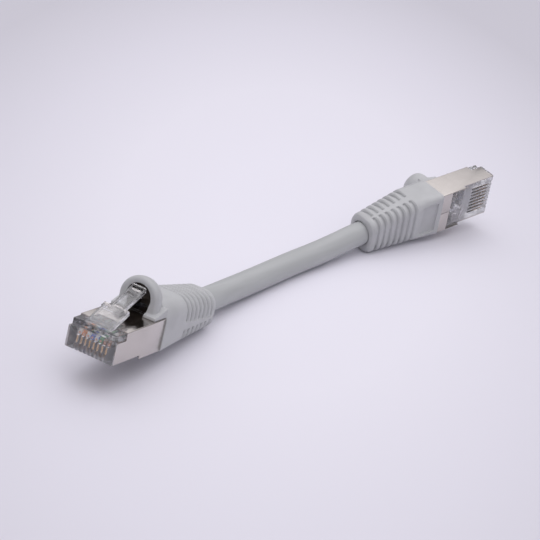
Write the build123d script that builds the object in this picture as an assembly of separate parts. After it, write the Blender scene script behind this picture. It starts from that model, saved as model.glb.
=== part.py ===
from build123d import *
import math
import os

# Short shielded network patch cable: two 8-way modular plugs with moulded boots and
# eight straight-through conductors. Millimetres, +Z up, the cable lies on z = 0 with its
# length along X. Plug A lies latch up, plug B lies on its narrow side.
#
# Each plug is modelled in its own frame: X runs back from the nose, Y runs towards
# pin 1 and Z runs from the contact face (z = 0) towards the latch.

# --- Driving dimensions -------------------------------------------------------------
# Where the plugs lie
NOSE_A = (-74.2, -5.75, 7.82)
NOSE_B = (73.4, -5.55, 10.64)
YAW_A = 9.6
YAW_B = -10.9
NOSE_UP_A = 7.9
NOSE_UP_B = 8.4
LEAN_B = -7.6

# Plug
PLUG_WIDTH = 11.68
PLUG_HEIGHT = 6.5
PLUG_LENGTH = 21.5
SHIELD_THICK = 0.25
LEDGE_HEIGHT = 4.8
TIER_FRONT = 0.8
SHIELD_FRONT = 0.45
TOP_PLATE_FRONT = 3.75
TOP_PLATE_NOTCH = 6.5
STEP_FRONT = 10.7
STEP_DEPTH = 0.93
FLAP_FRONT = 15.3
BOOT_FRONT = 18.6
TAIL_WIDTH = 9.8

# Contacts
PINS = 8
PIN_PITCH = 1.02
BLADE_THICK = 0.35
BLADE_FRONT = 0.75
BLADE_REAR = 5.4
BLADE_RECESS = 0.4
BLADE_TOP = 2.95
SLOT_WIDTH = 0.5
SLOT_REAR = 7.2

# Latch
HINGE_X = 2.1
HINGE_Z = 6.35
LATCH_ANGLE = 23.2
LATCH_THICK = 0.9
LATCH_ROOT_WIDTH = 6.1
LATCH_TAB_WIDTH = 3.4
LATCH_SHOULDER = 6.0
LATCH_LENGTH = 14.1
RIB_WIDTH = 0.55
RIB_HEIGHT = 0.3

# Boot
BOOT_MID = 27.0
BOOT_REAR = 42.6
BOOT_HALF_FRONT = 6.05
BOOT_HALF_MID = 5.85
BOOT_HALF_REAR = 4.77
BOOT_LOW = -1.35
BOOT_LOW_REAR = -1.58
BOOT_TOP_FRONT = 9.3
BOOT_TOP_MID = 9.2
BOOT_TOP_REAR = 7.03
END_ROUNDING = 0.9
GROOVES = 7
GROOVE_FIRST = 28.0
GROOVE_PITCH = 2.04
GROOVE_WIDTH = 0.75
GROOVE_DEPTH = 0.65
GROOVE_MOUTH = 1.25
GROOVE_MOUTH_DEPTH = 0.22
STRIPE_LOW = (1.8, 1.4)
STRIPE_HIGH = (3.6, 2.0)
HOOD_FRONT = 15.0
HOOD_RADIUS = 4.85
HOOD_CENTRE_Z = 9.5
HOOD_ROUNDING = 0.9
FLANGE_FRONT = 14.2
POCKET_RADIUS = 3.0
POCKET_CENTRE_Z = 9.95
POCKET_FOOT = 2.45
POCKET_FOOT_TOP = 8.4
POCKET_REAR = 20.9
BORE_GAP = 0.12
PANEL_FRONT = 20.2
PANEL_REAR = 25.5
PANEL_HALF = 4.2
PANEL_DEPTH = 0.55
TAIL_LOW = -0.4

# Cable
AXIS_Z = 3.0
CABLE_DIAMETER = 5.9
JACKET_BORE = 4.7
BRAID_OUTER = 4.64
BRAID_BORE = 4.34
WIRE_DIAMETER = 0.94
CORE_DIAMETER = 0.52
DRAIN_DIAMETER = 0.5
BUNDLE_RADIUS = 1.5
LAY_ANGLE = 97.6
ROW_Z = 3.6
ROW_FRONT = 1.4
ROW_REAR = 10.2
FAN_X = 12.1
WIRE_BEND = 1.6

# Centre line of the cable from inside plug A to inside plug B, chosen by hand
ROUTE = [
    (-59.63, -3.29, 8.8),
    (-45.47, -0.89, 6.81),
    (-30.82, 1.59, 4.74),
    (-18.0, 3.47, 3.53),
    (-6.0, 4.68, 2.98),
    (6.0, 5.47, 2.98),
    (18.5, 5.37, 3.31),
    (34.08, 5.05, 5.05),
    (46.22, 2.71, 6.88),
    (59.82, 0.09, 8.92),
]

os.makedirs("parts", exist_ok=True)


def block(x0, x1, y0, y1, z0, z1):
    """A box between two opposite corners."""
    centre = ((x0 + x1) / 2, (y0 + y1) / 2, (z0 + z1) / 2)
    return Pos(*centre) * Box(x1 - x0, y1 - y0, z1 - z0)


def slab(x0, x1, half_width, z0, z1):
    """A box that is symmetric about the plug's middle plane."""
    return block(x0, x1, -half_width, half_width, z0, z1)


def rod_y(x, z, radius, width):
    """A round bar across the plug."""
    return Pos(x, 0, z) * Rot(90, 0, 0) * Cylinder(radius, width)


def rod_x(x0, x1, y, z, radius):
    """A round bar along the plug."""
    return Pos((x0 + x1) / 2, y, z) * Rot(0, 90, 0) * Cylinder(radius, x1 - x0)


def pin_y(pin):
    """Sideways place of contact 0 to 7, pin 1 first."""
    return ((PINS - 1) / 2 - pin) * PIN_PITCH


# --- Plug ---------------------------------------------------------------------------
def housing():
    """Clear moulded body with a comb of contact slots, a tiered nose and a wire cavity."""
    half = PLUG_WIDTH / 2
    inner = half - SHIELD_THICK - 0.02
    roof = PLUG_HEIGHT - SHIELD_THICK - 0.02
    tier_top = PLUG_HEIGHT - 0.05
    body = slab(0, BOOT_FRONT, inner, 0, LEDGE_HEIGHT)
    body += slab(TIER_FRONT, BOOT_FRONT, inner, LEDGE_HEIGHT, roof)
    body += slab(0, SHIELD_FRONT - 0.02, half, 0, LEDGE_HEIGHT)
    body += slab(TIER_FRONT, TOP_PLATE_FRONT - 0.05, 4.1, roof, tier_top)
    body += slab(STEP_FRONT + 0.1, BOOT_FRONT, inner, SHIELD_THICK + 0.02 - STEP_DEPTH, 0)
    body += slab(BOOT_FRONT, PLUG_LENGTH, TAIL_WIDTH / 2, TAIL_LOW, roof)
    nose_edges = body.edges().filter_by(Axis.Y).filter_by_position(Axis.X, -0.01, 0.01)
    body = fillet(nose_edges, 0.3)
    # Comb of slots for the contacts
    for pin in range(PINS):
        y = pin_y(pin)
        side = SLOT_WIDTH / 2
        body -= block(-1, SLOT_REAR, y - side, y + side, -1, 1.7)
        body -= block(0.6, BLADE_REAR + 0.2, y - side, y + side, 1.6, 3.2)
    # Flat channel for the wire ends, room for the wire guide, and the cable cavity
    body -= slab(ROW_FRONT - 0.1, 5.7, 4.15, 3.05, 4.15)
    body -= slab(5.6, 9.75, 4.4, 2.5, 4.8)
    body -= slab(9.7, 13.2, 4.4, 0.9, 5.4)
    body -= slab(13.1, PLUG_LENGTH + 1, 4.4, 0, 6.02)
    # Pockets in the front of the upper tier
    for y in (-2.7, 0, 2.7):
        body -= block(0, TIER_FRONT + 0.9, y - 0.9, y + 0.9, 5.15, 5.95)
    # Seat of the latch's living hinge, with room below the root when it is pressed
    seat_half = LATCH_ROOT_WIDTH / 2 + 0.15
    body -= rod_y(HINGE_X, HINGE_Z, LATCH_THICK / 2 + 0.06, 2 * seat_half)
    body -= slab(HINGE_X, TOP_PLATE_FRONT + 0.4, seat_half, HINGE_Z - 0.55, PLUG_HEIGHT)
    return body


def wire_guide():
    """Small clear block that holds the eight wires side by side."""
    guide = slab(5.8, 9.6, 4.3, 2.6, 4.7)
    for pin in range(PINS):
        guide -= rod_x(5, 10, pin_y(pin), ROW_Z, WIRE_DIAMETER / 2 + 0.02)
    return guide


def contact(pin):
    """Gold-plated blade: a rounded lower front corner and three teeth that pierce the wire."""
    y = pin_y(pin)
    low = BLADE_RECESS
    outline = Polyline(
        (BLADE_FRONT, low),
        (BLADE_REAR, low),
        (BLADE_REAR, BLADE_TOP),
        (BLADE_FRONT, BLADE_TOP),
        close=True,
    )
    face = make_face(outline)
    face = fillet(face.vertices().sort_by(Axis.X)[:2].sort_by(Axis.Y)[:1], 0.6)
    tooth_width = 0.9
    tip = ROW_Z - CORE_DIAMETER / 2 - 0.01
    for tooth in range(3):
        x = BLADE_FRONT + 0.6 + tooth * 1.25
        face += make_face(
            Polyline((x, BLADE_TOP), (x + tooth_width, BLADE_TOP), (x + tooth_width / 2, tip), close=True)
        )
    blade = extrude(Plane.XZ * face, BLADE_THICK / 2, both=True)
    return Pos(0, y, 0) * blade


def shield():
    """Stamped shell: two side walls, a top plate, two flaps and a crimp ring on a strap."""
    half = PLUG_WIDTH / 2
    thick = SHIELD_THICK
    shell = slab(TOP_PLATE_FRONT, BOOT_FRONT, half, PLUG_HEIGHT - thick, PLUG_HEIGHT)
    shell -= slab(0, TOP_PLATE_NOTCH, LATCH_ROOT_WIDTH / 2 + 0.2, 0, PLUG_HEIGHT)
    for side in (-1, 1):
        y0, y1 = sorted((side * half, side * (half - thick)))
        shell += block(SHIELD_FRONT, BOOT_FRONT, y0, y1, 0, 4.7)
        shell += block(TOP_PLATE_FRONT, BOOT_FRONT, y0, y1, 4.7, PLUG_HEIGHT)
        shell += block(STEP_FRONT, BOOT_FRONT, y0, y1, -STEP_DEPTH, 0)
        flap_y0, flap_y1 = sorted((side * half, side * 0.06))
        shell += block(FLAP_FRONT, BOOT_FRONT, flap_y0, flap_y1, -STEP_DEPTH, thick - STEP_DEPTH)
    long_edges = shell.edges().filter_by(Axis.X).filter_by(
        lambda edge: abs(abs(edge.center().Y) - half) < 0.01
        and (edge.center().Z > PLUG_HEIGHT - 0.01 or edge.center().Z < 0.01 - STEP_DEPTH)
    )
    shell = fillet(long_edges, thick * 0.9)
    # Strap and crimp ring round the cable, inside the boot
    ring_outer = PLUG_HEIGHT - AXIS_Z
    shell += slab(BOOT_FRONT - 0.5, 24, 1.6, PLUG_HEIGHT - thick, PLUG_HEIGHT)
    shell += rod_x(23, 27.5, 0, AXIS_Z, ring_outer)
    shell -= rod_x(22, 28, 0, AXIS_Z, ring_outer - 0.35)
    return shell


def latch():
    """Springy release latch: a wide root, two catch shoulders and a narrow ribbed tab."""
    half_thick = LATCH_THICK / 2
    root_half = LATCH_ROOT_WIDTH / 2
    tab_half = LATCH_TAB_WIDTH / 2
    bar = slab(0, LATCH_SHOULDER, root_half, -half_thick, half_thick)
    bar += rod_y(0, 0, half_thick, LATCH_ROOT_WIDTH)
    bar += slab(LATCH_SHOULDER - 1, LATCH_LENGTH, tab_half, -half_thick, half_thick)
    # Catch shoulders stand a little proud at the end of the wide part
    for side in (-1, 1):
        y0, y1 = sorted((side * root_half, side * (tab_half + 0.1)))
        bar += block(LATCH_SHOULDER - 1.3, LATCH_SHOULDER, y0, y1, -half_thick, half_thick + 0.3)
    # Shallow panel in the root, long panel between the tab's ribs, lip and slot at the tip
    bar -= slab(1.2, LATCH_SHOULDER - 1.6, root_half - 0.7, half_thick - 0.2, 1)
    bar -= slab(LATCH_SHOULDER + 0.5, LATCH_LENGTH - 2.6, tab_half - RIB_WIDTH, half_thick - 0.5, 1)
    bar += slab(LATCH_LENGTH - 0.45, LATCH_LENGTH, tab_half, half_thick, half_thick + RIB_HEIGHT)
    bar -= slab(LATCH_LENGTH - 1.1, LATCH_LENGTH - 0.5, tab_half - 0.4, -1, 1)
    tip_edges = bar.edges().filter_by(Axis.Z).filter_by_position(
        Axis.X, LATCH_LENGTH - 0.01, LATCH_LENGTH + 0.01
    )
    bar = fillet(tip_edges, 0.35)
    return Pos(HINGE_X, 0, HINGE_Z) * Rot(0, -LATCH_ANGLE, 0) * bar


# --- Boot ---------------------------------------------------------------------------
def boot_section(x, half, low, top, top_radius, low_radius, inset=0.0):
    """Cross section of the boot at x: a box with large upper and smaller lower corners."""
    half = half - inset
    low = low + inset
    top = top - inset
    outline = make_face(Polyline((-half, low), (half, low), (half, top), (-half, top), close=True))
    corners = outline.vertices().sort_by(Axis.Y)
    outline = fillet(corners[:2], low_radius)
    corners = outline.vertices().sort_by(Axis.Y)
    outline = fillet(corners[-2:], top_radius)
    return Plane(origin=(x, 0, 0), x_dir=(0, 1, 0), z_dir=(1, 0, 0)) * outline


def rear_section(x, inset=0.0):
    """Section of the boot's rear end at x."""
    return boot_section(x, BOOT_HALF_REAR, BOOT_LOW_REAR, BOOT_TOP_REAR, 3.3, 2.8, inset)


def boot_body(inset=0.0):
    """Tapered outer shape of the boot from its front face to its rounded end."""
    front = boot_section(BOOT_FRONT, BOOT_HALF_FRONT, BOOT_LOW, BOOT_TOP_FRONT, 3.8, 1.0, inset)
    middle = boot_section(BOOT_MID, BOOT_HALF_MID, BOOT_LOW, BOOT_TOP_MID, 3.6, 2.2, inset)
    rear = rear_section(BOOT_REAR - END_ROUNDING, inset)
    return loft([front, middle], ruled=True) + loft([middle, rear], ruled=True)


def boot_end():
    """Rounded end of the boot, as two bevels."""
    start = rear_section(BOOT_REAR - END_ROUNDING)
    bevel = rear_section(BOOT_REAR - 0.3 * END_ROUNDING, 0.3 * END_ROUNDING)
    end = rear_section(BOOT_REAR, END_ROUNDING)
    return loft([start, bevel], ruled=True) + loft([bevel, end], ruled=True)


def hood():
    """Half dome that guards the latch's tip, on a flange over the top plate."""
    back = HOOD_FRONT + 0.6
    height = HOOD_CENTRE_Z - PLUG_HEIGHT
    dome = rod_x(HOOD_FRONT, back, 0, HOOD_CENTRE_Z, HOOD_RADIUS)
    dome += Pos(back, 0, HOOD_CENTRE_Z) * Sphere(HOOD_RADIUS)
    dome -= slab(HOOD_FRONT - 10, HOOD_FRONT, 10, 0, 20)
    dome -= slab(0, 40, 10, 0, HOOD_CENTRE_Z)
    column = Pos(back, 0, PLUG_HEIGHT + height / 2) * Cylinder(HOOD_RADIUS, height)
    column = column & slab(back, 40, 10, 0, 20)
    column += slab(HOOD_FRONT, back, HOOD_RADIUS, PLUG_HEIGHT, HOOD_CENTRE_Z)
    arch = dome + column
    front_edges = arch.edges().filter_by_position(Axis.X, HOOD_FRONT - 0.01, HOOD_FRONT + 0.01)
    front_edges = front_edges.filter_by_position(Axis.Z, PLUG_HEIGHT + 0.1, 20)
    return fillet(front_edges, HOOD_ROUNDING)


def pocket():
    """Hollow of the hood: round above the latch's tip, open to the top plate below it."""
    front = FLANGE_FRONT - 1
    rear = POCKET_REAR - POCKET_RADIUS - 1.2
    floor = PLUG_HEIGHT + 0.02
    hollow = rod_x(front, rear, 0, POCKET_CENTRE_Z, POCKET_RADIUS)
    hollow += Pos(rear, 0, POCKET_CENTRE_Z) * Sphere(POCKET_RADIUS)
    outline = make_face(
        Polyline(
            (-POCKET_FOOT, floor),
            (POCKET_FOOT, floor),
            (POCKET_RADIUS, POCKET_CENTRE_Z),
            (-POCKET_RADIUS, POCKET_CENTRE_Z),
            close=True,
        )
    )
    opening = Plane(origin=(front, 0, 0), x_dir=(0, 1, 0), z_dir=(1, 0, 0))
    hollow += extrude(opening * outline, rear + POCKET_RADIUS / 2 - front)
    hollow += slab(rear, POCKET_REAR, POCKET_FOOT, floor, POCKET_FOOT_TOP)
    return hollow


def boot():
    """Moulded boot: ribbed taper, hood with a pocket for the latch, panel and plug cavity."""
    body = boot_body() + boot_end()
    # Grooves with a wider mouth run round the boot except for a smooth stripe along each
    # narrow side, which narrows towards the rear
    cores = ((GROOVE_WIDTH, boot_body(GROOVE_DEPTH)), (GROOVE_MOUTH, boot_body(GROOVE_MOUTH_DEPTH)))
    for groove in range(GROOVES):
        x = GROOVE_FIRST + groove * GROOVE_PITCH
        share = groove / (GROOVES - 1)
        stripe_low = STRIPE_LOW[0] + (STRIPE_LOW[1] - STRIPE_LOW[0]) * share
        stripe_high = STRIPE_HIGH[0] + (STRIPE_HIGH[1] - STRIPE_HIGH[0]) * share
        for width, core in cores:
            cutter = slab(x - width / 2, x + width / 2, 10, -5, 15) - core
            body -= cutter - slab(x - 1, x + 1, 10, stripe_low, stripe_high)
    # Recessed panel on the contact side
    body -= slab(PANEL_FRONT, PANEL_REAR, PANEL_HALF, BOOT_LOW - 1, BOOT_LOW + PANEL_DEPTH)
    # Flange over the plug's top plate, then the hood and its pocket
    flange = make_face(
        Polyline(
            (FLANGE_FRONT, PLUG_HEIGHT + 0.02),
            (BOOT_FRONT + 0.4, PLUG_HEIGHT + 0.02),
            (BOOT_FRONT + 0.4, 8.6),
            (FLANGE_FRONT, PLUG_HEIGHT + 0.7),
            close=True,
        )
    )
    body += extrude(Plane.XZ * flange, 5.6, both=True)
    body += hood()
    body -= pocket()
    # Room for the plug's tail and for the crimp strap and ring
    body -= slab(BOOT_FRONT - 1, PLUG_LENGTH + 0.1, TAIL_WIDTH / 2 + 0.05, TAIL_LOW - 0.05, PLUG_HEIGHT + 0.02)
    body -= slab(PLUG_LENGTH, 24.1, 1.7, AXIS_Z, PLUG_HEIGHT + 0.02)
    body -= rod_x(PLUG_LENGTH, 27.6, 0, AXIS_Z, PLUG_HEIGHT - AXIS_Z + 0.02)
    return body


# --- Cable --------------------------------------------------------------------------
def corner_radii(points):
    """Radius of each corner: as large as the two runs beside it allow."""
    radii = []
    for before, here, after in zip(points, points[1:], points[2:]):
        run_in = Vector(here) - Vector(before)
        run_out = Vector(after) - Vector(here)
        half_turn = math.radians(run_in.get_angle(run_out)) / 2
        radii.append(0.45 * min(run_in.length, run_out.length) / math.tan(half_turn))
    return radii


def tube(path, outer, bore=0.0):
    """A round tube, or a solid strand where bore is 0, swept along a path."""
    start = Plane(origin=path @ 0, z_dir=path % 0)
    section = Circle(outer / 2)
    if bore:
        section -= Circle(bore / 2)
    return sweep(start * section, path=path)


def lay_frames():
    """Sideways and upward directions at each route point, turned by the wires' lay."""
    frames = []
    last = len(ROUTE) - 1
    for index, point in enumerate(ROUTE):
        before = Vector(ROUTE[max(index - 1, 0)])
        after = Vector(ROUTE[min(index + 1, last)])
        along = (after - before).normalized()
        left = Vector(0, 0, 1).cross(along).normalized()
        up = along.cross(left)
        turn = math.radians(LAY_ANGLE * index / last)
        across = left * math.cos(turn) + up * math.sin(turn)
        out = up * math.cos(turn) - left * math.sin(turn)
        frames.append((Vector(point), across, out))
    return frames


def wire_path(pin, place_a, place_b):
    """From the nose of plug A, through the bundle in the jacket, to the nose of plug B."""
    column = pin // 2
    upper = 1 if pin % 2 == 0 else -1
    angle = math.radians((22.5, 67.5, 112.5, 157.5)[column])
    across_reach = BUNDLE_RADIUS * math.cos(angle)
    out_reach = BUNDLE_RADIUS * math.sin(angle) * upper
    fan_y = 0.7 * pin_y(pin) + 0.3 * across_reach

    def at_plug(place, x, y, z):
        return Vector((place * Pos(x, y, z)).position)

    points = [at_plug(place_a, x, pin_y(pin), ROW_Z) for x in (ROW_FRONT, ROW_REAR)]
    points.append(at_plug(place_a, FAN_X, fan_y, AXIS_Z + out_reach))
    for centre, across, out in lay_frames():
        points.append(centre + across * across_reach + out * out_reach)
    points.append(at_plug(place_b, FAN_X, fan_y, AXIS_Z - out_reach))
    points += [at_plug(place_b, x, pin_y(pin), ROW_Z) for x in (ROW_REAR, ROW_FRONT)]
    radii = corner_radii([tuple(point) for point in points])
    for corner in (0, 1, 2, -3, -2, -1):
        radii[corner] = min(radii[corner], WIRE_BEND)
    return FilletPolyline(*points, radius=radii)


def write(name, solid):
    """Write one sub-part to its own file."""
    export_step(solid, f"parts/{name}.step")


def main():
    place_a = Pos(*NOSE_A) * Rot(0, 0, YAW_A) * Rot(0, NOSE_UP_A, 0)
    lie_on_side = Plane(origin=(0, 0, 0), x_dir=(-1, 0, 0), z_dir=(0, 1, 0)).location
    place_b = Pos(*NOSE_B) * Rot(0, 0, YAW_B) * Rot(0, -NOSE_UP_B, 0) * lie_on_side * Rot(LEAN_B, 0, 0)

    radii = corner_radii(ROUTE)
    print("cable bend radii", [round(radius) for radius in radii])
    route = FilletPolyline(*ROUTE, radius=radii)
    print("cable length", round(route.length, 1))
    write("cable_jacket", tube(route, CABLE_DIAMETER, JACKET_BORE))
    write("cable_braid", tube(route, BRAID_OUTER, BRAID_BORE))
    write("drain_wire", tube(route, DRAIN_DIAMETER))

    plug = {
        "housing": housing(),
        "wire_guide": wire_guide(),
        "shield": shield(),
        "latch": latch(),
    }
    for pin in range(PINS):
        plug[f"contact_{pin + 1}"] = contact(pin)
    # The bore of the soft boot follows the cable
    bore = tube(route, CABLE_DIAMETER + 2 * BORE_GAP)
    whole_boot = boot()
    for end, place in (("a", place_a), ("b", place_b)):
        for name, solid in plug.items():
            write(f"plug_{end}_{name}", place * solid)
        bored_boot = place * whole_boot - bore
        write(f"plug_{end}_boot", bored_boot)
        footprint = bored_boot.bounding_box()
        footprint = footprint.add((place * plug["shield"]).bounding_box())
        footprint = footprint.add((place * plug["housing"]).bounding_box())
        print("plug", end, "from", footprint.min, "to", footprint.max)

    colours = ("white_orange", "orange", "white_green", "blue", "white_blue", "green", "white_brown", "brown")
    for pin, colour in enumerate(colours):
        path = wire_path(pin, place_a, place_b)
        insulation = tube(path, WIRE_DIAMETER, CORE_DIAMETER)
        for place in (place_a, place_b):
            insulation -= place * contact(pin)
        write(f"wire_{pin + 1}_{colour}", insulation)
        write(f"core_{pin + 1}", tube(path, CORE_DIAMETER - 0.01))


main()
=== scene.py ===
import math

import bmesh
import bpy
from mathutils import Matrix, Vector


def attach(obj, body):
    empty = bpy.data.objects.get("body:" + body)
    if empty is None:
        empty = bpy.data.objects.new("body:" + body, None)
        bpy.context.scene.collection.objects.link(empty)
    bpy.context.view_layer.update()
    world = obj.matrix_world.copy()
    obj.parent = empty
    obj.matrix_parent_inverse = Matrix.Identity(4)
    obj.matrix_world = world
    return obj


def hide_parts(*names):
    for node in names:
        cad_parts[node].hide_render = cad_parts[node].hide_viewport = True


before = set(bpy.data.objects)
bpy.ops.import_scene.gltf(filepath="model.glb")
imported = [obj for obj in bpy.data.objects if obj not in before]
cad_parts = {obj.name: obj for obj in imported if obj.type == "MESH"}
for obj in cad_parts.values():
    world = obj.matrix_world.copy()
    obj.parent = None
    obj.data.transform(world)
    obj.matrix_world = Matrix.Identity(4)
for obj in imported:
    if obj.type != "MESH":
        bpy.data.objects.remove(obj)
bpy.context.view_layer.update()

# Sizes are in metres, in the same frame as the CAD model.
MM = 0.001

# --- Camera ---------------------------------------------------------------------------
CAMERA_TARGET = Vector((3.83, 9.62, 0.0)) * MM
CAMERA_DISTANCE = 427.8 * MM
CAMERA_AZIMUTH = 35.66
CAMERA_ELEVATION = 25.07
CAMERA_ROLL = 10.3
CAMERA_LENS = 118.9
SENSOR_WIDTH = 36.0

# --- Light ----------------------------------------------------------------------------
LIGHT_TINT = (0.98, 0.965, 1.0)
WORLD_STRENGTH = 0.90
HORIZON_SHARE = 0.25
# Place and size of each softbox in metres, and its power in watts
SOFTBOXES = {
    "key": ((-0.33, -0.47, 0.69), 0.5, 0.5),
    "top": ((-0.03, -0.03, 0.85), 0.9, 2.2),
    "back": ((0.51, 0.39, 0.70), 1.0, 0.9),
}

# --- Floor ----------------------------------------------------------------------------
FLOOR_REACH = 3.0
# Centre of the pool of light painted into the paper's colour, beyond the camera's target, and the
# pool's half length and half width
LIGHT_POOL_CENTRE = (33.83 * MM, 29.62 * MM, 0)
LIGHT_POOL_REACH = (0.24, 0.105, 1)

# --- Cable ----------------------------------------------------------------------------
CABLE_DIAMETER = 5.9 * MM
CABLE_ROUTE = [
    (-59.63, -3.29, 8.8),
    (-45.47, -0.89, 6.81),
    (-30.82, 1.59, 4.74),
    (-18.0, 3.47, 3.53),
    (-6.0, 4.68, 2.98),
    (6.0, 5.47, 2.98),
    (18.5, 5.37, 3.31),
    (34.08, 5.05, 5.05),
    (46.22, 2.71, 6.88),
    (59.82, 0.09, 8.92),
]

# --- Plugs ----------------------------------------------------------------------------
# Nose of each plug, and the turns that lay it down (the same as in the CAD model). A plug's
# own frame has X back from the nose, Y towards pin 1 and Z towards the latch.
NOSE = {"a": (-74.2, -5.75, 7.82), "b": (73.4, -5.55, 10.64)}
YAW = {"a": 9.6, "b": -10.9}
NOSE_UP = {"a": 7.9, "b": -8.4}
LEAN_B = -7.6
ENDS = ("a", "b")
PINS = 8
PLUG_HEIGHT = 6.5
# Inside of the hood's pocket, in a plug's own frame, where the boot's grey is painted over with dark
# shade
POCKET_FRONT = 15.35
POCKET_REAR = 21.1
POCKET_RADIUS = 3.0
POCKET_CENTRE_X = 16.7
POCKET_CENTRE_Z = 9.95
POCKET_FOOT_TOP = 8.4
POCKET_MARGIN = 0.1
# Comb between the contacts, in a plug's own frame, where the clear housing gets a painted highlight
COMB_FRONT = 0.5
COMB_REAR = 7.4
COMB_TOP = 1.2
COMB_HALF = 5.0

# --- Finish ---------------------------------------------------------------------------
BOOT_VOXEL = 0.13 * MM
BOOT_ROUNDS = 5
HOUSING_EASE = 0.07 * MM
LATCH_EASE = 0.09 * MM
SHIELD_EASE = 0.04 * MM
WELD_REACH = 0.002 * MM
# Ground and stripe colour of each wire, pin 1 first
INSULATION = {
    "white_orange": ((0.86, 0.82, 0.78), (0.80, 0.26, 0.05)),
    "orange": ((0.80, 0.26, 0.05), (0.80, 0.26, 0.05)),
    "white_green": ((0.84, 0.86, 0.82), (0.05, 0.36, 0.12)),
    "blue": ((0.04, 0.12, 0.55), (0.04, 0.12, 0.55)),
    "white_blue": ((0.82, 0.84, 0.88), (0.04, 0.12, 0.55)),
    "green": ((0.04, 0.34, 0.11), (0.04, 0.34, 0.11)),
    "white_brown": ((0.85, 0.81, 0.77), (0.22, 0.09, 0.04)),
    "brown": ((0.22, 0.09, 0.04), (0.22, 0.09, 0.04)),
}


# --- Stage ----------------------------------------------------------------------------
def make_camera():
    """Camera for the main view, with a slight roll."""
    azimuth = math.radians(CAMERA_AZIMUTH)
    elevation = math.radians(CAMERA_ELEVATION)
    roll = math.radians(CAMERA_ROLL)
    look = Vector((
        math.cos(elevation) * math.cos(azimuth),
        math.cos(elevation) * math.sin(azimuth),
        -math.sin(elevation),
    ))
    level_right = Vector((math.sin(azimuth), -math.cos(azimuth), 0))
    level_up = level_right.cross(look)
    right = level_right * math.cos(roll) + level_up * math.sin(roll)
    up = level_up * math.cos(roll) - level_right * math.sin(roll)
    place = CAMERA_TARGET - look * CAMERA_DISTANCE
    data = bpy.data.cameras.new("camera")
    data.lens = CAMERA_LENS
    data.sensor_width = SENSOR_WIDTH
    data.clip_start = 0.01
    data.clip_end = 20
    camera = bpy.data.objects.new("camera", data)
    camera.matrix_world = Matrix((
        (right.x, up.x, -look.x, place.x),
        (right.y, up.y, -look.y, place.y),
        (right.z, up.z, -look.z, place.z),
        (0, 0, 0, 1),
    ))
    bpy.context.scene.collection.objects.link(camera)
    bpy.context.scene.camera = camera


def area_light(name, place, size, power):
    """Square softbox at a place, aimed at the middle of the object."""
    data = bpy.data.lights.new(name, "AREA")
    data.shape = "SQUARE"
    data.size = size
    data.energy = power
    data.color = LIGHT_TINT
    light = bpy.data.objects.new(name, data)
    light.location = place
    light.rotation_euler = (-Vector(place)).to_track_quat("-Z", "Y").to_euler()
    bpy.context.scene.collection.objects.link(light)


def make_world():
    """Studio surround: bright overhead and dim at the horizon."""
    world = bpy.data.worlds.new("studio")
    world.use_nodes = True
    tree = world.node_tree
    background = tree.nodes["Background"]
    background.inputs["Strength"].default_value = WORLD_STRENGTH
    direction = tree.nodes.new("ShaderNodeTexCoord")
    split = tree.nodes.new("ShaderNodeSeparateXYZ")
    fade = tree.nodes.new("ShaderNodeValToRGB")
    horizon, overhead = fade.color_ramp.elements
    horizon.position = 0.1
    horizon.color = (*[HORIZON_SHARE * channel for channel in LIGHT_TINT], 1)
    overhead.position = 0.8
    overhead.color = (*LIGHT_TINT, 1)
    tree.links.new(direction.outputs["Generated"], split.inputs["Vector"])
    tree.links.new(split.outputs["Z"], fade.inputs["Fac"])
    tree.links.new(fade.outputs["Color"], background.inputs["Color"])
    bpy.context.scene.world = world


def make_lights():
    """Soft studio light: a box on the camera's side, one overhead and a large one behind."""
    for name, (place, size, power) in SOFTBOXES.items():
        area_light(name, place, size, power)
    bpy.context.scene.view_settings.view_transform = "Standard"
    make_world()


def make_floor():
    """Seamless pale floor that fills the view, with a pool of light painted into its colour."""
    mesh = bpy.data.meshes.new("floor")
    corners = [(x * FLOOR_REACH, y * FLOOR_REACH, 0) for x, y in ((-1, -1), (1, -1), (1, 1), (-1, 1))]
    mesh.from_pydata(corners, [], [(0, 1, 2, 3)])
    floor = bpy.data.objects.new("floor", mesh)
    bpy.context.scene.collection.objects.link(floor)
    material, shader = new_material("floor_paper")
    shader.inputs["Roughness"].default_value = 0.7
    shader.inputs["Specular IOR Level"].default_value = 0.2
    # Painted pool of light: the paper's colour dims softly away from its brightest spot, along and
    # across the view
    coordinates = add_node(material, "ShaderNodeTexCoord")
    mapping = add_node(material, "ShaderNodeMapping", vector_type="TEXTURE")
    mapping.inputs["Location"].default_value = LIGHT_POOL_CENTRE
    mapping.inputs["Rotation"].default_value = (0, 0, math.radians(CAMERA_AZIMUTH))
    mapping.inputs["Scale"].default_value = LIGHT_POOL_REACH
    gradient = add_node(material, "ShaderNodeTexGradient", gradient_type="SPHERICAL")
    link(material, coordinates.outputs["Object"], mapping.inputs["Vector"])
    link(material, mapping.outputs["Vector"], gradient.inputs["Vector"])
    colour = ramp(material, gradient.outputs["Fac"], [
        (0.0, (0.58, 0.567, 0.625)),
        (0.35, (0.70, 0.685, 0.755)),
        (0.6, (0.77, 0.755, 0.825)),
        (0.85, (0.79, 0.775, 0.85)),
    ])
    link(material, colour, shader.inputs["Base Color"])
    floor.data.materials.append(material)


# --- Materials ------------------------------------------------------------------------
def new_material(name):
    """A node material with one Principled shader."""
    material = bpy.data.materials.new(name)
    material.use_nodes = True
    return material, material.node_tree.nodes["Principled BSDF"]


def add_node(material, kind, **settings):
    """A node of one kind with its properties set."""
    node = material.node_tree.nodes.new(kind)
    for key, value in settings.items():
        setattr(node, key, value)
    return node


def link(material, source, target):
    """Join an output socket to an input socket."""
    material.node_tree.links.new(source, target)


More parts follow.
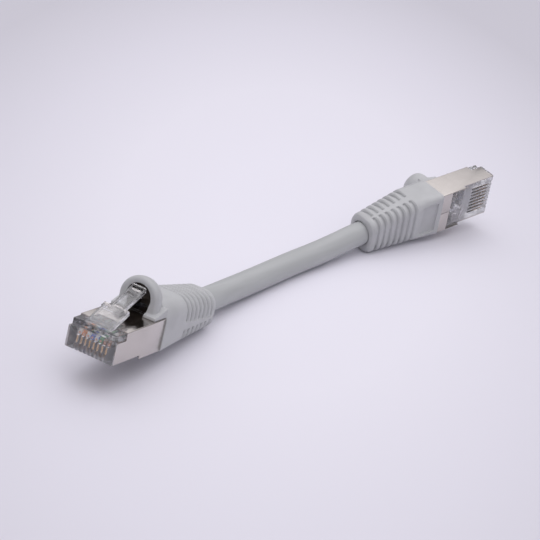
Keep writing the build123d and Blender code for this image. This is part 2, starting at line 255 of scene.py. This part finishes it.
def noise(material, scale, detail=3.0, stretch=(1, 1, 1)):
    """Noise texture in object space, stretched along the axes, with its value output."""
    coordinates = add_node(material, "ShaderNodeTexCoord")
    mapping = add_node(material, "ShaderNodeMapping")
    mapping.inputs["Scale"].default_value = stretch
    texture = add_node(material, "ShaderNodeTexNoise")
    texture.inputs["Scale"].default_value = scale
    texture.inputs["Detail"].default_value = detail
    link(material, coordinates.outputs["Object"], mapping.inputs["Vector"])
    link(material, mapping.outputs["Vector"], texture.inputs["Vector"])
    return texture.outputs["Fac"]


def ramp(material, value, stops):
    """Colour ramp over a value, with (position, colour) stops."""
    node = add_node(material, "ShaderNodeValToRGB")
    elements = node.color_ramp.elements
    while len(elements) < len(stops):
        elements.new(0.5)
    for element, (position, colour) in zip(elements, stops):
        element.position = position
        element.color = (*colour, 1)
    link(material, value, node.inputs["Fac"])
    return node.outputs["Color"]


def spread(material, value, low, high):
    """Map noise around its middle to a range."""
    node = add_node(material, "ShaderNodeMapRange")
    node.inputs["From Min"].default_value = 0.3
    node.inputs["From Max"].default_value = 0.7
    node.inputs["To Min"].default_value = low
    node.inputs["To Max"].default_value = high
    link(material, value, node.inputs["Value"])
    return node.outputs["Result"]


def bump(material, shader, value, strength, distance):
    """Bump from a value into the shader's normal."""
    node = add_node(material, "ShaderNodeBump")
    node.inputs["Strength"].default_value = strength
    node.inputs["Distance"].default_value = distance
    link(material, value, node.inputs["Height"])
    link(material, node.outputs["Normal"], shader.inputs["Normal"])


def shade(colour, factor):
    """A colour made lighter or darker."""
    return tuple(min(channel * factor, 1.0) for channel in colour)


def moulded_plastic(name, colour, roughness, grain):
    """Satin PVC with faint cloudiness, uneven gloss and a fine moulded grain."""
    material, shader = new_material(name)
    cloud = noise(material, 180, 4)
    link(material, ramp(material, cloud, [(0.35, shade(colour, 0.94)), (0.65, shade(colour, 1.05))]),
         shader.inputs["Base Color"])
    gloss = spread(material, noise(material, 600, 2), roughness - 0.06, roughness + 0.06)
    link(material, gloss, shader.inputs["Roughness"])
    bump(material, shader, noise(material, grain, 3), 0.25, 0.00003)
    shader.inputs["Specular IOR Level"].default_value = 0.45
    return material


def extruded_jacket(colour):
    """Cable jacket: satin PVC with faint streaks along the cable."""
    material, shader = new_material("jacket_pvc")
    streak = noise(material, 500, 3, (0.06, 1, 1))
    link(material, ramp(material, streak, [(0.35, shade(colour, 0.95)), (0.65, shade(colour, 1.04))]),
         shader.inputs["Base Color"])
    link(material, spread(material, noise(material, 400, 2), 0.36, 0.48), shader.inputs["Roughness"])
    bump(material, shader, noise(material, 2500, 2, (0.15, 1, 1)), 0.12, 0.00003)
    return material


def clear_plastic(name, brightness, clarity):
    """Slightly smoky and bluish clear polycarbonate with faint flow marks and a gloss coat."""
    material, shader = new_material(name)
    cloud = noise(material, 260, 3)
    colour = (brightness, brightness, brightness + 0.02)
    link(material, ramp(material, cloud, [(0.3, shade(colour, 0.96)), (0.7, shade(colour, 1.03))]),
         shader.inputs["Base Color"])
    link(material, spread(material, noise(material, 900, 2), 0.02, 0.07), shader.inputs["Roughness"])
    bump(material, shader, noise(material, 700, 2), 0.12, 0.00002)
    shader.inputs["Transmission Weight"].default_value = clarity
    shader.inputs["IOR"].default_value = 1.2
    shader.inputs["Coat Weight"].default_value = 1.0
    shader.inputs["Coat Roughness"].default_value = 0.06
    shader.inputs["Coat IOR"].default_value = 1.55
    return material


def plated_metal(name, colour, roughness, stretch, grain=1500, metallic=1.0):
    """Plated sheet metal with a fine rolling grain."""
    material, shader = new_material(name)
    cloud = noise(material, 150, 3)
    link(material, ramp(material, cloud, [(0.3, shade(colour, 0.93)), (0.7, shade(colour, 1.04))]),
         shader.inputs["Base Color"])
    grain_value = noise(material, grain, 3, stretch)
    link(material, spread(material, grain_value, roughness - 0.04, roughness + 0.05),
         shader.inputs["Roughness"])
    bump(material, shader, grain_value, 0.04, 0.00001)
    shader.inputs["Metallic"].default_value = metallic
    return material


def wire_insulation(name, ground, stripe):
    """Wire insulation: plain, or pale with coloured bands."""
    material, shader = new_material("insulation_" + name)
    coordinates = add_node(material, "ShaderNodeTexCoord")
    wave = add_node(material, "ShaderNodeTexWave", bands_direction="X")
    wave.inputs["Scale"].default_value = 160
    wave.inputs["Distortion"].default_value = 1.5
    link(material, coordinates.outputs["Object"], wave.inputs["Vector"])
    link(material, ramp(material, wave.outputs["Fac"], [(0.55, ground), (0.72, stripe)]),
         shader.inputs["Base Color"])
    shader.inputs["Roughness"].default_value = 0.4
    bump(material, shader, noise(material, 1200, 2), 0.1, 0.00002)
    return material


# --- Pieces ---------------------------------------------------------------------------
def paint(node, material):
    """Give a CAD node its finished material."""
    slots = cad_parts[node].data.materials
    if slots:
        slots[0] = material
    else:
        slots.append(material)


def plug_place(end):
    """Matrix from a plug's own frame in millimetres to the scene in metres."""
    turn = Matrix.Rotation(math.radians(YAW[end]), 4, "Z")
    turn = turn @ Matrix.Rotation(math.radians(NOSE_UP[end]), 4, "Y")
    if end == "b":
        on_side = Matrix(((-1, 0, 0, 0), (0, 0, 1, 0), (0, 1, 0, 0), (0, 0, 0, 1)))
        turn = turn @ on_side @ Matrix.Rotation(math.radians(LEAN_B), 4, "X")
    return Matrix.Scale(MM, 4) @ Matrix.Translation(NOSE[end]) @ turn


def link_piece(name, mesh, material, body):
    """Add a finished mesh that rides on a body."""
    mesh.materials.clear()
    mesh.materials.append(material)
    piece = bpy.data.objects.new(name, mesh)
    bpy.context.scene.collection.objects.link(piece)
    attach(piece, body)
    return piece


def welded_mesh(node, name):
    """Copy of a CAD node's mesh with its split corners joined and its flat faces merged."""
    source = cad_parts[node].data
    work = bmesh.new()
    work.from_mesh(source)
    bmesh.ops.remove_doubles(work, verts=work.verts, dist=WELD_REACH)
    bmesh.ops.dissolve_limit(
        work, angle_limit=math.radians(1.0), verts=work.verts, edges=work.edges, delimit={"NORMAL"}
    )
    mesh = bpy.data.meshes.new(name)
    work.to_mesh(mesh)
    work.free()
    return mesh


def with_modifiers(mesh, name, modifiers):
    """Apply modifiers, given as (kind, settings) pairs, and return the resulting mesh."""
    scratch = bpy.data.objects.new(name, mesh)
    bpy.context.scene.collection.objects.link(scratch)
    for kind, settings in modifiers:
        modifier = scratch.modifiers.new(kind.lower(), kind)
        for key, value in settings.items():
            setattr(modifier, key, value)
    evaluated = scratch.evaluated_get(bpy.context.evaluated_depsgraph_get())
    result = bpy.data.meshes.new_from_object(evaluated)
    bpy.data.objects.remove(scratch)
    bpy.data.meshes.remove(mesh)
    result.name = name
    return result


def eased_piece(node, name, material, body, width):
    """A CAD node's shape with small rounded edges that catch the light."""
    mesh = with_modifiers(welded_mesh(node, name), name, [
        ("BEVEL", {"width": width, "segments": 2, "limit_method": "ANGLE",
                   "angle_limit": math.radians(35), "harden_normals": False}),
    ])
    mesh.shade_smooth()
    mesh.set_sharp_from_angle(angle=math.radians(32))
    piece = link_piece(name, mesh, material, body)
    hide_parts(node)
    return piece


def moulded_piece(node, name, material, body, voxel, rounds):
    """A CAD node's shape remeshed and relaxed into a soft-edged moulding."""
    mesh = with_modifiers(welded_mesh(node, name), name, [
        ("REMESH", {"mode": "VOXEL", "voxel_size": voxel, "adaptivity": 0.0, "use_smooth_shade": True}),
        ("SMOOTH", {"factor": 0.5, "iterations": rounds}),
    ])
    mesh.shade_smooth()
    piece = link_piece(name, mesh, material, body)
    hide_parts(node)
    return piece


def make_cable(material):
    """Jacket: one smooth curve from inside plug A to inside plug B."""
    data = bpy.data.curves.new("cable", "CURVE")
    data.dimensions = "3D"
    data.resolution_u = 24
    data.bevel_depth = CABLE_DIAMETER / 2
    data.bevel_resolution = 10
    data.use_fill_caps = True
    spline = data.splines.new("NURBS")
    spline.points.add(len(CABLE_ROUTE) - 1)
    for point, (x, y, z) in zip(spline.points, CABLE_ROUTE):
        point.co = (x * MM, y * MM, z * MM, 1)
    spline.order_u = 3
    spline.use_endpoint_u = True
    cable = bpy.data.objects.new("cable", data)
    bpy.context.scene.collection.objects.link(cable)
    data.materials.append(material)
    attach(cable, "cable")
    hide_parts("cable_jacket")


def in_pocket(point):
    """Is a point of the plug's frame on the inside of the hood's pocket?"""
    x, y, z = point
    if x < POCKET_FRONT or x > POCKET_REAR or z < PLUG_HEIGHT + POCKET_MARGIN:
        return False
    if z < POCKET_FOOT_TOP + POCKET_MARGIN:
        return abs(y) < POCKET_RADIUS + POCKET_MARGIN
    # Above the foot the pocket is a round tunnel that ends in a dome
    depth = max(x - POCKET_CENTRE_X, 0)
    rise = max(z - POCKET_CENTRE_Z, 0)
    return math.hypot(depth, y, rise) < POCKET_RADIUS + 2 * POCKET_MARGIN


def in_comb(point):
    """Is a point of the plug's frame on the comb between the contacts?"""
    return COMB_FRONT < point.x < COMB_REAR and point.z < COMB_TOP and abs(point.y) < COMB_HALF


def add_zone_material(piece, end, material, zone):
    """Second material on the faces of a piece whose middles are in a zone of the plug's frame."""
    piece.data.materials.append(material)
    to_plug = plug_place(end).inverted()
    for face in piece.data.polygons:
        if zone(to_plug @ face.center):
            face.material_index = 1


make_camera()
make_lights()
make_floor()

boot_pvc = moulded_plastic("boot_pvc", (0.48, 0.485, 0.495), 0.42, 2600)
# Painted shade: dark brown for the inside of the hood's pocket, which is really the same grey PVC as
# the boot
pocket_painted_shade = moulded_plastic("pocket_painted_shade", (0.085, 0.068, 0.055), 0.6, 2600)
jacket_pvc = extruded_jacket((0.43, 0.44, 0.445))
polycarbonate = clear_plastic("clear_polycarbonate", 0.93, 0.92)
# Painted highlight: a milky copy of the clear polycarbonate for the comb's bright teeth, which are the
# same plastic as the housing
comb_painted_highlight = clear_plastic("comb_polycarbonate_painted_highlight", 0.72, 0.6)
nickel = plated_metal("nickel_plate", (0.56, 0.525, 0.50), 0.16, (0.08, 1, 1))
gold = plated_metal("gold_plate", (0.80, 0.44, 0.13), 0.26, (1, 1, 1), 2500, 0.6)
copper = plated_metal("bare_copper", (0.80, 0.42, 0.26), 0.3, (0.2, 1, 1))
tin = plated_metal("tinned_copper", (0.68, 0.68, 0.66), 0.35, (0.2, 1, 1))

make_cable(jacket_pvc)

for end in ENDS:
    plug = "plug_" + end + "_"
    boot = moulded_piece(
        plug + "boot", "boot_" + end, boot_pvc, "cable", BOOT_VOXEL, BOOT_ROUNDS
    )
    # Paint shade onto the faces inside the hood's pocket
    add_zone_material(boot, end, pocket_painted_shade, in_pocket)
    housing = eased_piece(
        plug + "housing", "housing_" + end, polycarbonate, "cable", HOUSING_EASE
    )
    # Paint a highlight onto the comb between the contacts
    add_zone_material(housing, end, comb_painted_highlight, in_comb)
    eased_piece(
        plug + "latch", "latch_" + end, polycarbonate, "latch_" + end, LATCH_EASE
    )
    eased_piece(plug + "shield", "shield_" + end, nickel, "cable", SHIELD_EASE)
    paint(plug + "wire_guide", polycarbonate)
    for pin in range(1, PINS + 1):
        paint(plug + "contact_" + str(pin), gold)

for number, (colour, (ground, stripe)) in enumerate(INSULATION.items(), start=1):
    paint("wire_" + str(number) + "_" + colour, wire_insulation(colour, ground, stripe))
    paint("core_" + str(number), copper)
paint("cable_braid", tin)
paint("drain_wire", tin)
